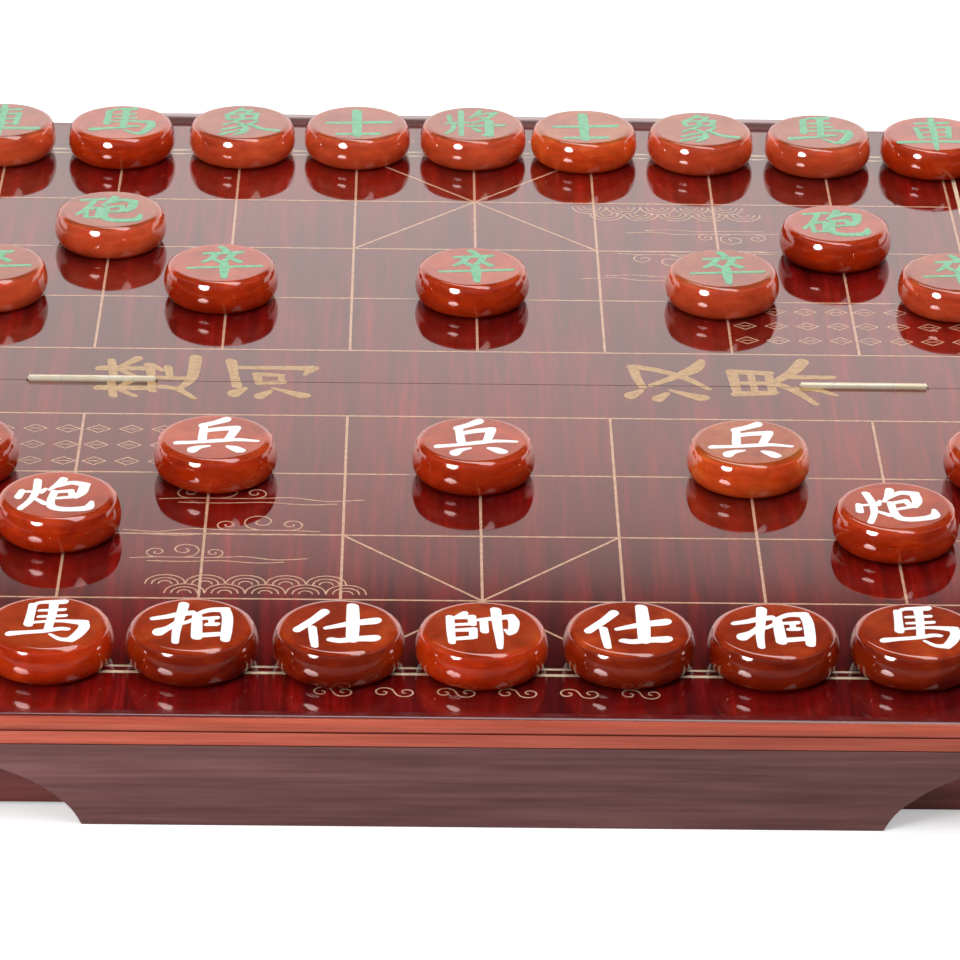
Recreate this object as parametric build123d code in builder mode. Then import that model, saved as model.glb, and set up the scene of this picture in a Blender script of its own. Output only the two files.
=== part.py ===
from build123d import *
import os

# A folding xiangqi (Chinese chess) case: two shallow half cases hinged at the river, a playing
# surface on top, a storage drawer in each half, and the thirty-two men set out on the board.
#
# Axes: X across the board, Y from the near player to the far player, Z up from the table.
# The half cases are drawn about the seam between them and moved by seam_y when they are written,
# so that the origin lies under the middle of the whole object.

# ---------------------------------------------------------------- driving dimensions, mm
# Playing grid
files = 9
file_pitch = 52.5
ranks_per_side = 5
rank_pitch = 54.5
river_width = 64.8
side_margin = 39.5          # outer file to the side of the case
end_margin = 39.8           # outer rank to the end of the case

# Case
board_height = 43.0         # table to playing surface
seam_gap = 0.4              # between the two halves when they lie open
panel_thickness = 7.0
moulding_height = 11.0
moulding_width = 6.0        # as seen from above
moulding_roll = 3.2         # radius of the upper band's rounded edge
moulding_groove_depth = 5.2  # from the playing surface down to the dark line
moulding_groove = 0.8       # width and depth of that line
moulding_chamfer = 0.5
apron_thickness = 12.5
wall_thickness = 6.0
seam_wall_thickness = 8.0
ground_gap = 2.0            # the case itself is carried clear of the table by the apron's feet
bottom_thickness = 6.0

# Feet and arches of the apron
centre_foot = 286.0         # width of the wide foot in the middle of an end apron
corner_foot = 28.0
arch_height = 24.0
arch_run = 39.25            # from a foot to where the arch has its full height
arch_steps = ((0.074, 0.221), (0.199, 0.4375), (0.425, 0.704), (0.670, 0.892))

# Drawers
drawer_gap = 0.5            # round the drawer front
tray_inset = 2.0            # the tray is this much narrower than its front, each side
tray_wall = 4.0
tray_floor = 3.0
tray_end_gap = 3.0
tray_headroom = 0.5
runner_width = 8.0
runner_height = 10.0
runner_clearance = 0.4
felt_thickness = 1.0
felt_clearance = 0.3

# Drawer knob
knob_radius = 6.5
knob_length = 13.0
knob_neck_radius = 3.0
knob_base_radius = 5.0
knob_base_thickness = 1.4
knob_stud_radius = 2.0
knob_stud_length = 8.0
knob_stud_clearance = 0.05

# Closing strip on the far end
strip_length = 300.0
strip_depth = 5.0
strip_rise = 2.6            # above the playing surface
strip_height = 16.0
strip_round = 1.0

# Hinges
hinge_x = 156.5             # middle of each hinge, from the middle of the board
hinge_length = 51.0
knuckle_length = 13.3       # each outer knuckle, on the near leaf
knuckle_gap = 0.1
barrel_radius = 1.6
barrel_rise = 0.55          # hinge axis above the playing surface
barrel_clearance = 0.25
barrel_end_clearance = 1.0
pin_radius = 0.8
pin_clearance = 0.05
pin_tip = 0.5
leaf_thickness = 1.0
leaf_width = 14.0
leaf_gap = 0.2              # between the two leaves
leaf_clearance = 0.1        # round a leaf in its mortise
leaf_bed = 0.05             # behind a leaf
screw_pitch = 17.0
screw_row = 10.0            # below the playing surface
screw_radius = 1.2
screw_head_radius = 2.2
screw_length = 7.4
screw_tip = 1.0
screw_clearance = 0.05

# Men
man_radius = 24.0
man_height = 14.8
man_widest = 6.8                 # height of the widest ring above the base
man_shoulder = 22.3              # radius of the edge where the side meets the bevel
man_shoulder_height = 13.7
man_top_flat = 19.6              # radius of the flat top, inside its curved bevel
man_edge_round = 1.5
man_base_radius = 19.5

# How far each man was set down from its crossing: (across, along)
near_men = {
    "white_chariot_left": (1, 1, 0.8, 4.0),
    "white_horse_left": (2, 1, 0.4, 4.5),
    "white_elephant_left": (3, 1, 0.0, 4.2),
    "white_advisor_left": (4, 1, 0.2, 4.0),
    "white_general": (5, 1, -0.8, 3.5),
    "white_advisor_right": (6, 1, -0.2, 5.2),
    "white_elephant_right": (7, 1, -0.6, 4.6),
    "white_horse_right": (8, 1, -1.4, 5.6),
    "white_chariot_right": (9, 1, -1.0, 4.6),
    "white_cannon_left": (2, 3, -3.0, 2.2),
    "white_cannon_right": (8, 3, -0.3, -0.4),
    "white_soldier_1": (1, 4, 6.6, 0.6),
    "white_soldier_2": (3, 4, 2.0, 1.1),
    "white_soldier_3": (5, 4, -2.6, 1.4),
    "white_soldier_4": (7, 4, -0.4, 1.5),
    "white_soldier_5": (9, 4, -5.2, 1.6),
}
far_men = {
    "green_chariot_left": (1, 10, -2.3, 1.6),
    "green_horse_left": (2, 10, -1.1, 0.2),
    "green_elephant_left": (3, 10, 0.6, 2.2),
    "green_advisor_left": (4, 10, 0.0, 2.6),
    "green_general": (5, 10, -0.4, 3.0),
    "green_advisor_right": (6, 10, -2.9, 0.8),
    "green_elephant_right": (7, 10, -3.0, -0.3),
    "green_horse_right": (8, 10, -2.6, -2.2),
    "green_chariot_right": (9, 10, -3.0, -3.0),
    "green_cannon_left": (2, 8, 0.0, 5.6),
    "green_cannon_right": (8, 8, -2.6, -1.9),
    "green_soldier_1": (1, 7, 5.5, 0.4),
    "green_soldier_2": (3, 7, -2.6, 2.0),
    "green_soldier_3": (5, 7, -1.9, 0.8),
    "green_soldier_4": (7, 7, -1.5, 1.5),
    "green_soldier_5": (9, 7, -8.3, 0.6),
}

# ---------------------------------------------------------------- sizes that follow from them
case_width = (files - 1) * file_pitch + 2 * side_margin
half_depth = river_width / 2 + (ranks_per_side - 1) * rank_pitch + end_margin
seam_y = -strip_depth / 2                      # the strip makes the far end the longer one

side_face = case_width / 2                     # outer face of a side apron
seam_face = -seam_gap / 2                      # near half's face at the seam
wall_face_x = side_face - apron_thickness      # outer face of the case walls
wall_face_y = half_depth - apron_thickness
apron_height = board_height - moulding_height
panel_underside = board_height - panel_thickness
floor_top = ground_gap + bottom_thickness      # where a drawer runs

# A drawer closes between a post at the near corner and a post at the seam.
bay_near = -(wall_face_y - corner_foot)
bay_far = seam_face - corner_foot
bay_middle = (bay_near + bay_far) / 2
front_length = (bay_far - bay_near) - 2 * drawer_gap
front_top = apron_height - drawer_gap
tray_width = front_length - 2 * tray_inset
tray_back = -(wall_face_x - wall_thickness) + tray_end_gap
tray_length = wall_face_x - tray_back
tray_height = front_top - tray_headroom - floor_top
tray_middle_x = (wall_face_x + tray_back) / 2

hinge_axis_z = board_height + barrel_rise
leaf_bottom = board_height - leaf_width
mortise_depth = leaf_gap / 2 + leaf_thickness + leaf_bed - seam_gap / 2
screw_z = board_height - screw_row
middle_knuckle = hinge_length - 2 * (knuckle_length + knuckle_gap)

turned = Location((0, 0, 0), (0, 0, 180))      # near half to far half
os.makedirs("parts", exist_ok=True)


def write(part, name):
    """Move a finished piece from the seam to the object's own origin, and write it."""
    placed = part.moved(Location((0, seam_y, 0)))
    placed.label = name
    export_step(placed, f"parts/{name}.step")


def board(x_span, y_span, z_span, mode=Mode.ADD):
    """A rectangular board between the given limits, in the block that calls it."""
    sizes = [high - low for low, high in (x_span, y_span, z_span)]
    centre = [(high + low) / 2 for low, high in (x_span, y_span, z_span)]
    with Locations(tuple(centre)):
        Box(*sizes, mode=mode)


def cut_hinge_seats():
    """Cut the leaf mortises and the barrel grooves of both hinges into the near half's seam."""
    for side in (-1, 1):
        middle = side * hinge_x
        reach = hinge_length / 2 + leaf_clearance
        board(
            (middle - reach, middle + reach),
            (seam_face - mortise_depth, 0),
            (leaf_bottom - leaf_clearance, hinge_axis_z),
            mode=Mode.SUBTRACT,
        )
        with Locations((middle, 0, hinge_axis_z)):
            Cylinder(
                barrel_radius + barrel_clearance,
                hinge_length + 2 * barrel_end_clearance,
                rotation=(0, 90, 0),
                mode=Mode.SUBTRACT,
            )


# ---------------------------------------------------------------- one half of the case
def play_panel():
    """The lacquered top board, let in flush behind the edge moulding."""
    edge = side_face - moulding_width
    with BuildPart() as panel:
        board((-edge, edge), (-(half_depth - moulding_width), seam_face), (panel_underside, board_height))
        cut_hinge_seats()
    return panel.part


def edge_moulding():
    """The two-banded moulding round the three outer sides, mitred at its corners."""
    near_end = -half_depth
    groove_top = board_height - moulding_groove_depth + moulding_groove / 2
    groove_bottom = groove_top - moulding_groove
    profile_plane = Plane(origin=(side_face, seam_face, 0), x_dir=(-1, 0, 0), z_dir=(0, 1, 0))
    with BuildPart() as moulding:
        with BuildLine() as run:
            Polyline(
                (side_face, seam_face),
                (side_face, near_end),
                (-side_face, near_end),
                (-side_face, seam_face),
            )
        with BuildSketch(profile_plane):
            with BuildLine():
                face = Polyline(
                    (apron_thickness, apron_height),
                    (moulding_chamfer, apron_height),
                    (0, apron_height + moulding_chamfer),
                    (0, groove_bottom),
                    (moulding_groove, groove_bottom),
                    (moulding_groove, groove_top),
                    (0, groove_top),
                    (0, board_height - moulding_roll),
                )
                roll = RadiusArc(face @ 1, (moulding_roll, board_height), moulding_roll)
                Polyline(
                    roll @ 1,
                    (moulding_width, board_height),
                    (moulding_width, panel_underside),
                    (apron_thickness, panel_underside),
                    (apron_thickness, apron_height),
                )
            make_face()
        sweep(path=run.line, transition=Transition.RIGHT)
    return moulding.part


def arch(start, end):
    """The shape cut out between two feet, from start to end along the apron's length."""
    middle = (start + end) / 2
    run = min(arch_run, (end - start) / 2)
    rise = [(run * along, arch_height * up) for along, up in arch_steps]
    left = [(start, 0)] + [(start + along, up) for along, up in rise] + [(start + run, arch_height)]
    right = [(2 * middle - along, up) for along, up in reversed(left)]
    with BuildSketch() as opening:
        with BuildLine():
            Line((end, 0), (start, 0))
            Spline(*left, tangents=((0.42, 1), (1, 0)), tangent_scalars=(0.6, 1))
            if end - start > 2 * run:
                Line(left[-1], right[0])
            Spline(*right, tangents=((1, 0), (0.42, -1)), tangent_scalars=(1, 0.6))
        make_face()
    return opening.sketch


def apron():
    """The skirt that the case stands on: an end board with three feet, a side board with two,
    and on the drawer's side two posts with a rail between them."""
    right_arch = arch(centre_foot / 2, side_face - corner_foot)
    left_arch = arch(corner_foot - side_face, -centre_foot / 2)
    side_arch = arch(bay_near, bay_far)
    with BuildPart() as skirt:
        with BuildSketch(Plane.XZ.offset(half_depth)):
            with Locations((0, apron_height / 2)):
                Rectangle(case_width, apron_height)
            add(right_arch, mode=Mode.SUBTRACT)
            add(left_arch, mode=Mode.SUBTRACT)
        extrude(amount=-apron_thickness)
    with BuildPart() as side:
        with BuildSketch(Plane.YZ.offset(-side_face)):
            with Locations(((seam_face - wall_face_y) / 2, apron_height / 2)):
                Rectangle(wall_face_y + seam_face, apron_height)
            add(side_arch, mode=Mode.SUBTRACT)
        extrude(amount=apron_thickness)
    with BuildPart() as near_post:
        board((wall_face_x, side_face), (-wall_face_y, bay_near), (0, apron_height))
    with BuildPart() as seam_post:
        board((wall_face_x, side_face), (bay_far, seam_face), (0, apron_height))
    with BuildPart() as rail:
        board((wall_face_x, side_face), (bay_near, bay_far), (ground_gap, floor_top - drawer_gap))
    return Compound([piece.part.solid() for piece in (skirt, side, near_post, seam_post, rail)])


def case_walls():
    """The case's own walls behind the apron: at the near end, at the closed side and at the seam."""
    inner_near = -(wall_face_y - wall_thickness)
    inner_seam = seam_face - seam_wall_thickness
    height = (ground_gap, panel_underside)
    across = (-wall_face_x, wall_face_x)
    with BuildPart() as near_wall:
        board(across, (-wall_face_y, inner_near), height)
    with BuildPart() as side_wall:
        board((-wall_face_x, -wall_face_x + wall_thickness), (inner_near, inner_seam), height)
    with BuildPart() as seam_wall:
        board(across, (inner_seam, seam_face), height)
        cut_hinge_seats()
        for side in (-1, 1):
            for step in (-1, 0, 1):
                seat = (side * hinge_x + step * screw_pitch, seam_face - mortise_depth, screw_z)
                with Locations(Plane(origin=seat, x_dir=(1, 0, 0), z_dir=(0, 1, 0))):
                    Hole(screw_radius + screw_clearance, depth=screw_length - leaf_thickness)
    return Compound([wall.part.solid() for wall in (near_wall, side_wall, seam_wall)])


def case_bottom():
    """The bottom board between the walls, with the two runners that guide the drawer."""
    inner_x = -(wall_face_x - wall_thickness)
    inner_near = -(wall_face_y - wall_thickness)
    inner_seam = seam_face - seam_wall_thickness
    tray_side = tray_width / 2 + runner_clearance
    runner_z = (floor_top, floor_top + runner_height)
    with BuildPart() as floor_board:
        board((inner_x, wall_face_x), (inner_near, inner_seam), (ground_gap, floor_top))
    with BuildPart() as near_runner:
        edge = bay_middle - tray_side
        board((inner_x, wall_face_x), (edge - runner_width, edge), runner_z)
    with BuildPart() as far_runner:
        edge = bay_middle + tray_side
        board((inner_x, wall_face_x), (edge, edge + runner_width), runner_z)
    return Compound([piece.part.solid() for piece in (floor_board, near_runner, far_runner)])


def drawer_tray():
    """The open tray, which runs on the bottom board."""
    inner_length = tray_length - 2 * tray_wall
    inner_width = tray_width - 2 * tray_wall
    with BuildPart() as tray:
        with BuildSketch(Plane.XY.offset(floor_top)):
            with Locations((tray_middle_x, bay_middle)):
                Rectangle(tray_length, tray_width)
        extrude(amount=tray_height)
        with BuildSketch(Plane.XY.offset(floor_top + tray_floor)):
            with Locations((tray_middle_x, bay_middle)):
                Rectangle(inner_length, inner_width)
        extrude(amount=tray_height, mode=Mode.SUBTRACT)
    return tray.part


def drawer_felt():
    """The felt that lines the tray's floor."""
    inner_length = tray_length - 2 * tray_wall
    inner_width = tray_width - 2 * tray_wall
    with BuildPart() as felt:
        with BuildSketch(Plane.XY.offset(floor_top + tray_floor)):
            with Locations((tray_middle_x, bay_middle)):
                Rectangle(inner_length - 2 * felt_clearance, inner_width - 2 * felt_clearance)
        extrude(amount=felt_thickness)
    return felt.part


knob_z = (floor_top + front_top) / 2
knob_plane = Plane(origin=(side_face, bay_middle, knob_z), x_dir=(0, 1, 0), z_dir=(1, 0, 0))


def drawer_front():
    """The board that closes the drawer's bay, flush with the posts beside it."""
    near_edge = bay_near + drawer_gap
    far_edge = bay_far - drawer_gap
    with BuildPart() as front:
        board((wall_face_x, side_face), (near_edge, far_edge), (floor_top, front_top))
        with Locations(knob_plane):
            Hole(knob_stud_radius + knob_stud_clearance, depth=knob_stud_length + knob_stud_clearance)
    return front.part


def drawer_knob():
    """A small turned knob whose stud goes into the drawer front."""
    neck_start = knob_base_thickness
    neck_end = knob_length / 2
    with BuildPart() as knob:
        with BuildSketch(Plane.XZ):
            with BuildLine():
                Polyline(
                    (0, -knob_stud_length),
                    (knob_stud_radius, -knob_stud_length),
                    (knob_stud_radius, 0),
                    (knob_base_radius, 0),
                    (knob_base_radius, neck_start),
                    (knob_neck_radius, neck_start),
                    (knob_neck_radius, neck_end),
                )
                crown = Spline(
                    (knob_neck_radius, neck_end),
                    (knob_radius, (neck_end + knob_length) / 2),
                    (0, knob_length),
                    tangents=((1, 0.4), (-1, 0)),
                )
                Line(crown @ 1, (0, -knob_stud_length))
            make_face()
        revolve(axis=Axis.Z)
    return knob.part.moved(knob_plane.location)


half_case = {
    "play_panel": play_panel(),
    "edge_moulding": edge_moulding(),
    "apron": apron(),
    "case_walls": case_walls(),
    "case_bottom": case_bottom(),
    "drawer_tray": drawer_tray(),
    "drawer_felt": drawer_felt(),
    "drawer_front": drawer_front(),
    "drawer_knob": drawer_knob(),
}
for piece_name, piece in half_case.items():
    write(piece, "front_" + piece_name)
    write(piece.moved(turned), "rear_" + piece_name)

# ---------------------------------------------------------------- closing strip
# It is fixed to the far end and stands a little above the playing surface, so that it laps over
# the near end's edge when the case is folded shut.
with BuildPart() as closing_strip:
    strip_top = board_height + strip_rise
    board(
        (-strip_length / 2, strip_length / 2),
        (half_depth, half_depth + strip_depth),
        (strip_top - strip_height, strip_top),
    )
    fillet(closing_strip.edges().filter_by(Axis.X).group_by(Axis.Z)[-1], radius=strip_round)
write(closing_strip.part, "closing_strip")


# ---------------------------------------------------------------- hinges
def hinge_leaf(middle, side, knuckles, gaps):
    """One leaf with its knuckles. side is -1 on the near half and 1 on the far half. knuckles and
    gaps are the spans along X, from the hinge's middle, of its own and the other leaf's knuckles."""
    inner = side * leaf_gap / 2
    outer = side * (leaf_gap / 2 + leaf_thickness)
    with BuildPart() as leaf:
        board(
            (middle - hinge_length / 2, middle + hinge_length / 2),
            (min(inner, outer), max(inner, outer)),
            (leaf_bottom, hinge_axis_z),
        )
        for low, high in gaps:
            with Locations((middle + (low + high) / 2, 0, hinge_axis_z)):
                Cylinder(
                    barrel_radius + barrel_clearance,
                    high - low + 2 * knuckle_gap,
                    rotation=(0, 90, 0),
                    mode=Mode.SUBTRACT,
                )
        for low, high in knuckles:
            with Locations((middle + (low + high) / 2, 0, hinge_axis_z)):
                Cylinder(barrel_radius, high - low, rotation=(0, 90, 0))
        with Locations((middle, 0, hinge_axis_z)):
            Cylinder(
                pin_radius + pin_clearance, 2 * hinge_length, rotation=(0, 90, 0), mode=Mode.SUBTRACT
            )
        for step in (-1, 0, 1):
            seat = (middle + step * screw_pitch, inner, screw_z)
            with Locations(Plane(origin=seat, x_dir=(1, 0, 0), z_dir=(0, -side, 0))):
                CounterSinkHole(
                    radius=screw_radius + screw_clearance,
                    counter_sink_radius=screw_head_radius + screw_clearance,
                    depth=2 * leaf_thickness,
                    counter_sink_angle=90,
                )
    return leaf.part


outer_knuckles = [
    (-hinge_length / 2, -hinge_length / 2 + knuckle_length),
    (hinge_length / 2 - knuckle_length, hinge_length / 2),
]
inner_knuckle = [(-middle_knuckle / 2, middle_knuckle / 2)]

for side_name, side in (("left", -1), ("right", 1)):
    middle = side * hinge_x
    write(hinge_leaf(middle, -1, outer_knuckles, inner_knuckle), f"{side_name}_hinge_front_leaf")
    write(hinge_leaf(middle, 1, inner_knuckle, outer_knuckles), f"{side_name}_hinge_rear_leaf")
    with BuildPart() as pin:
        with Locations((middle, 0, hinge_axis_z)):
            Cylinder(pin_radius, hinge_length + 2 * pin_tip, rotation=(0, 90, 0))
    write(pin.part, f"{side_name}_hinge_pin")

with BuildPart() as screw:
    sink = screw_head_radius - screw_radius
    with BuildSketch(Plane.XZ):
        with BuildLine():
            Polyline(
                (0, 0),
                (screw_head_radius, 0),
                (screw_radius, -sink),
                (screw_radius, -(screw_length - screw_tip)),
                (0, -screw_length),
                (0, 0),
            )
        make_face()
    revolve(axis=Axis.Z)

with BuildPart() as hinge_screws:
    for side in (-1, 1):
        for step in (-1, 0, 1):
            seat = (side * hinge_x + step * screw_pitch, -leaf_gap / 2, screw_z)
            with Locations(Plane(origin=seat, x_dir=(1, 0, 0), z_dir=(0, 1, 0))):
                add(screw.part)
write(hinge_screws.part, "front_hinge_screws")
write(hinge_screws.part.moved(turned), "rear_hinge_screws")

# ---------------------------------------------------------------- men
# Every man has the same turned shape: a flat base, a full, rounded side that stands upright at its
# widest ring, a softened edge, and a curved bevel that runs up to the flat top.
with BuildPart() as man:
    with BuildSketch(Plane.XZ):
        with BuildLine():
            Line((0, 0), (man_base_radius, 0))
            EllipticalCenterArc(
                (man_base_radius, man_widest),
                man_radius - man_base_radius,
                man_widest,
                start_angle=-90,
                arc_size=90,
            )
            TangentArc(
                (man_radius, man_widest), (man_shoulder, man_shoulder_height), tangent=(0, 1)
            )
            TangentArc(
                (man_top_flat, man_height), (man_shoulder, man_shoulder_height), tangent=(1, 0)
            )
            Polyline((man_top_flat, man_height), (0, man_height), (0, 0))
        make_face()
    revolve(axis=Axis.Z)
    shoulder_edge = man.edges().filter_by_position(
        Axis.Z, man_shoulder_height * 0.99, man_shoulder_height * 1.01
    )
    fillet(shoulder_edge, man_edge_round)


def crossing(file, rank):
    """Where a file crosses a rank, counted from the near left corner."""
    x = (file - (files + 1) / 2) * file_pitch
    from_river = river_width / 2
    if rank <= ranks_per_side:
        return x, -from_river - (ranks_per_side - rank) * rank_pitch
    return x, from_river + (rank - ranks_per_side - 1) * rank_pitch


for man_name, (file, rank, across, along) in {**near_men, **far_men}.items():
    x, y = crossing(file, rank)
    write(man.part.moved(Location((x + across, y + along, board_height))), man_name)
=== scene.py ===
# %% [markdown]
# # A folding xiangqi case
#
# The real thing is a low wooden case that opens into a chess board. Two half cases meet at the
# river in the middle of the board, on two small brass hinges, and thirty-two polished agate men
# stand on the gold grid.
#
# The solids are already made at their real size. This file gives every one of them its finish,
# and adds what is too thin to be a solid of its own: the inlaid lines, the words and the ornament.

# %% Load the frame
import bpy, bmesh, math
from mathutils import Matrix, Vector


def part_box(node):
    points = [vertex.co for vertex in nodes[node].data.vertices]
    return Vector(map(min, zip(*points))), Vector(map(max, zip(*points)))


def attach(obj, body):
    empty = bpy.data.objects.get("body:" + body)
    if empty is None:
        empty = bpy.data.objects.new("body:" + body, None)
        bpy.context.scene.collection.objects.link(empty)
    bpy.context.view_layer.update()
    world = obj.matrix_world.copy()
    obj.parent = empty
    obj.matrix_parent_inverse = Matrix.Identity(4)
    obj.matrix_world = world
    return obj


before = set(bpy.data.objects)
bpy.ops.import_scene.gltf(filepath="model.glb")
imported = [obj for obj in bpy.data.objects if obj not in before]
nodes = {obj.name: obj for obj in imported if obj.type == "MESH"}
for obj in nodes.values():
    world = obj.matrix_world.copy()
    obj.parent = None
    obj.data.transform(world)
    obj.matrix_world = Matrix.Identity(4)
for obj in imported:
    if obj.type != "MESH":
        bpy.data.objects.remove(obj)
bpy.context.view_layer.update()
MM = 0.001
print("nodes:", len(nodes))

# %% [markdown]
# ## Camera
#
# The camera stands a little to the left of the middle, nearly two metres back, and looks down at
# the board with a long lens. It is placed first, so that every later choice can be judged through it.
# Its turn is three plain rotations: about the vertical, down towards the board, and a slight roll.
# A camera that isn't turned looks straight down, so it is first raised to the horizon.

# %% Camera
CAMERA_PLACE = (-26.73, -1836.7, 866.4)      # mm, from the origin under the middle of the board
LENS_MM, SENSOR_MM = 185.79, 36.0
TURN_RIGHT, LOOK_DOWN, ROLL = 0.8789, 25.283, 0.9322      # degrees
HORIZON = 90.0                               # degrees up from straight down
CLIP_END = 50.0                              # metres; past the far edge of the floor

lens = bpy.data.cameras.new("camera")
lens.lens, lens.sensor_width, lens.clip_end = LENS_MM, SENSOR_MM, CLIP_END
camera = bpy.data.objects.new("camera", lens)
bpy.context.scene.collection.objects.link(camera)
camera.matrix_world = (
    Matrix.Translation(Vector(CAMERA_PLACE) * MM)
    @ Matrix.Rotation(math.radians(-TURN_RIGHT), 4, "Z")
    @ Matrix.Rotation(math.radians(HORIZON - LOOK_DOWN), 4, "X")
    @ Matrix.Rotation(math.radians(ROLL), 4, "Z")
)
bpy.context.scene.camera = camera
bpy.context.scene.view_settings.view_transform = "Standard"
print("camera at", tuple(round(v, 3) for v in camera.matrix_world.translation))

# %% [markdown]
# ## A small language for shader nodes
#
# Every finish below is a handful of nodes ending in one Principled shader. Short helpers keep the
# recipes readable. The first two add a node and plug its inputs in, whether the value is a number,
# a colour or another node's output.

# %% Adding nodes
BLACK, WHITE = (0, 0, 0), (1, 1, 1)


def plug(tree, socket, value):
    """Link the socket to another node's output, or set it to a number or a colour."""
    if isinstance(value, bpy.types.NodeSocket):
        tree.links.new(value, socket)
    elif isinstance(value, (tuple, list)) and len(value) == 3 and socket.type == "RGBA":
        socket.default_value = (*value, 1.0)
    else:
        socket.default_value = value


def add_node(tree, kind, inputs=(), **settings):
    """A new node of that kind, with its settings made and its inputs plugged in."""
    made = tree.nodes.new(kind)
    for key, value in settings.items():
        setattr(made, key, value)
    for key, value in dict(inputs).items():
        plug(tree, made.inputs[key], value)
    return made


class NodeMaterial:
    """One material, and the nodes that make it."""

    def __init__(self, name):
        self.material = bpy.data.materials.new(name)
        self.material.use_nodes = True
        self.tree = self.material.node_tree
        self.shader = self.tree.nodes["Principled BSDF"]
        self.place = self.node("ShaderNodeTexCoord").outputs["Object"]

    def node(self, kind, inputs=(), **settings):
        return add_node(self.tree, kind, inputs, **settings)

    def set(self, **inputs):
        """Set the shader's own inputs; underscores stand for spaces."""
        for key, value in inputs.items():
            plug(self.tree, self.shader.inputs[key.replace("_", " ")], value)


print("a colour is three shares of red, green and blue, such as white:", WHITE)

# %% [markdown]
# On top of that come the words that the recipes are written in: a noise for what varies, a ramp
# that turns it into colours, a mix of two colours, a sum, and a bump.

# %% Words of a recipe
class Finish(NodeMaterial):
    """A material whose recipe is written in noises, ramps, mixes and bumps."""

    def noise(self, stretch, detail=4.0, roughness=0.55, shift=(0, 0, 0), distortion=0.0):
        """Noise that varies about stretch times per metre along each axis."""
        at = self.node("ShaderNodeMapping", {"Vector": self.place, "Location": shift, "Scale": stretch})
        made = self.node("ShaderNodeTexNoise", {"Vector": at.outputs["Vector"], "Scale": 1.0,
                                                "Detail": detail, "Roughness": roughness,
                                                "Distortion": distortion})
        return made.outputs["Fac"]

    def ramp(self, value, *stops):
        """Colours at places from 0 to 1: ((place, colour), ...)."""
        made = self.node("ShaderNodeValToRGB", {"Fac": value})
        elements = made.color_ramp.elements
        while len(elements) < len(stops):
            elements.new(0.5)
        for element, (at, colour) in zip(elements, stops):
            element.position = at
            element.color = (*colour, 1.0)
        return made.outputs["Color"]

    def mix(self, share, first, second, blend="MIX"):
        """The first colour at share 0, the second at 1, joined by that kind of blend."""
        made = self.node("ShaderNodeMix", data_type="RGBA", blend_type=blend)
        sockets = {s.identifier: s for s in made.inputs}
        plug(self.tree, sockets["Factor_Float"], share)
        plug(self.tree, sockets["A_Color"], first)
        plug(self.tree, sockets["B_Color"], second)
        return [s for s in made.outputs if s.identifier == "Result_Color"][0]

    def math(self, operation, first, second=0.0):
        made = self.node("ShaderNodeMath", {0: first, 1: second}, operation=operation)
        return made.outputs[0]

    def bump(self, height, strength, depth_mm):
        """Let the surface follow a height, without moving the mesh."""
        made = self.node("ShaderNodeBump", {"Height": height, "Strength": strength,
                                            "Distance": depth_mm * MM})
        self.set(Normal=made.outputs["Normal"])


print("words of a recipe:", ", ".join(word for word in vars(Finish) if not word.startswith("_")))

# %% [markdown]
# A finish is then put on the solids by name. The two halves hold the same pieces, so one call
# dresses both.

# %% Dressing the solids
HALVES = {"front": -1, "rear": 1}          # each half, and the way it lies from the seam


def dress(finish, *names):
    """Give these solids a finish."""
    for name in names:
        slots = nodes[name].data.materials
        slots.clear()
        slots.append(finish.material)


def both(*endings):
    """The same pieces of the near and of the far half."""
    return [f"{half}_{ending}" for half in HALVES for ending in endings]


print("the apron is two pieces:", ", ".join(both("apron")))

# %% [markdown]
# ## Board lacquer
#
# The playing surface is rosewood-coloured, with fine red streaks that run towards the players, under
# a thick polished lacquer. A mirror-like lacquer is best made as two gloss layers: the shader's own
# reflection and a clear coat over it, both with a high index, because the lacquer reflects far more
# at this low angle than plain varnish would.

# %% Board lacquer
LACQUER_INDEX = 1.75                       # how strongly the lacquer mirrors
CLEAR_COAT = 0.03                          # roughness of the polished clear coat


def wood_streaks(finish, along, fine, broad, seed):
    """Two noises drawn out along the grain: fine fibres, and broad darker and redder bands.
    along holds the grain's own axis and how often it varies on that axis per metre; fine and
    broad are how often the two noises vary across it."""
    def stretch(across):
        return tuple(along[1] * across / fine if axis == along[0] else across for axis in "xyz")
    fibres = finish.noise(stretch(fine), detail=5.0, roughness=0.6, shift=(seed, seed, 0))
    bands = finish.noise(stretch(broad), detail=2.0, roughness=0.5, shift=(seed + 3, seed, 1))
    return fibres, bands


lacquer = Finish("board_lacquer")
fibres, bands = wood_streaks(lacquer, along=("y", 22.0), fine=460.0, broad=130.0, seed=2.0)
patches = lacquer.noise((9, 6, 6), detail=2.0, shift=(4.0, 2.0, 0.0))
dark = lacquer.ramp(fibres, (0.32, (0.052, 0.002, 0.003)), (0.52, (0.076, 0.003, 0.004)),
                    (0.72, (0.112, 0.005, 0.007)))
red = lacquer.ramp(fibres, (0.32, (0.100, 0.002, 0.002)), (0.52, (0.175, 0.003, 0.003)),
                   (0.72, (0.30, 0.008, 0.008)))
warmth = lacquer.math("ADD", lacquer.math("MULTIPLY", bands, 0.6), lacquer.math("MULTIPLY", patches, 0.5))
redness = lacquer.ramp(warmth, (0.44, BLACK), (0.66, WHITE))
lacquer.set(Base_Color=lacquer.mix(redness, dark, red), Roughness=0.07, IOR=LACQUER_INDEX,
            Coat_Weight=1.0, Coat_Roughness=CLEAR_COAT, Coat_IOR=LACQUER_INDEX)
dress(lacquer, *both("play_panel"))
print("lacquered:", ", ".join(both("play_panel")))

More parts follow.
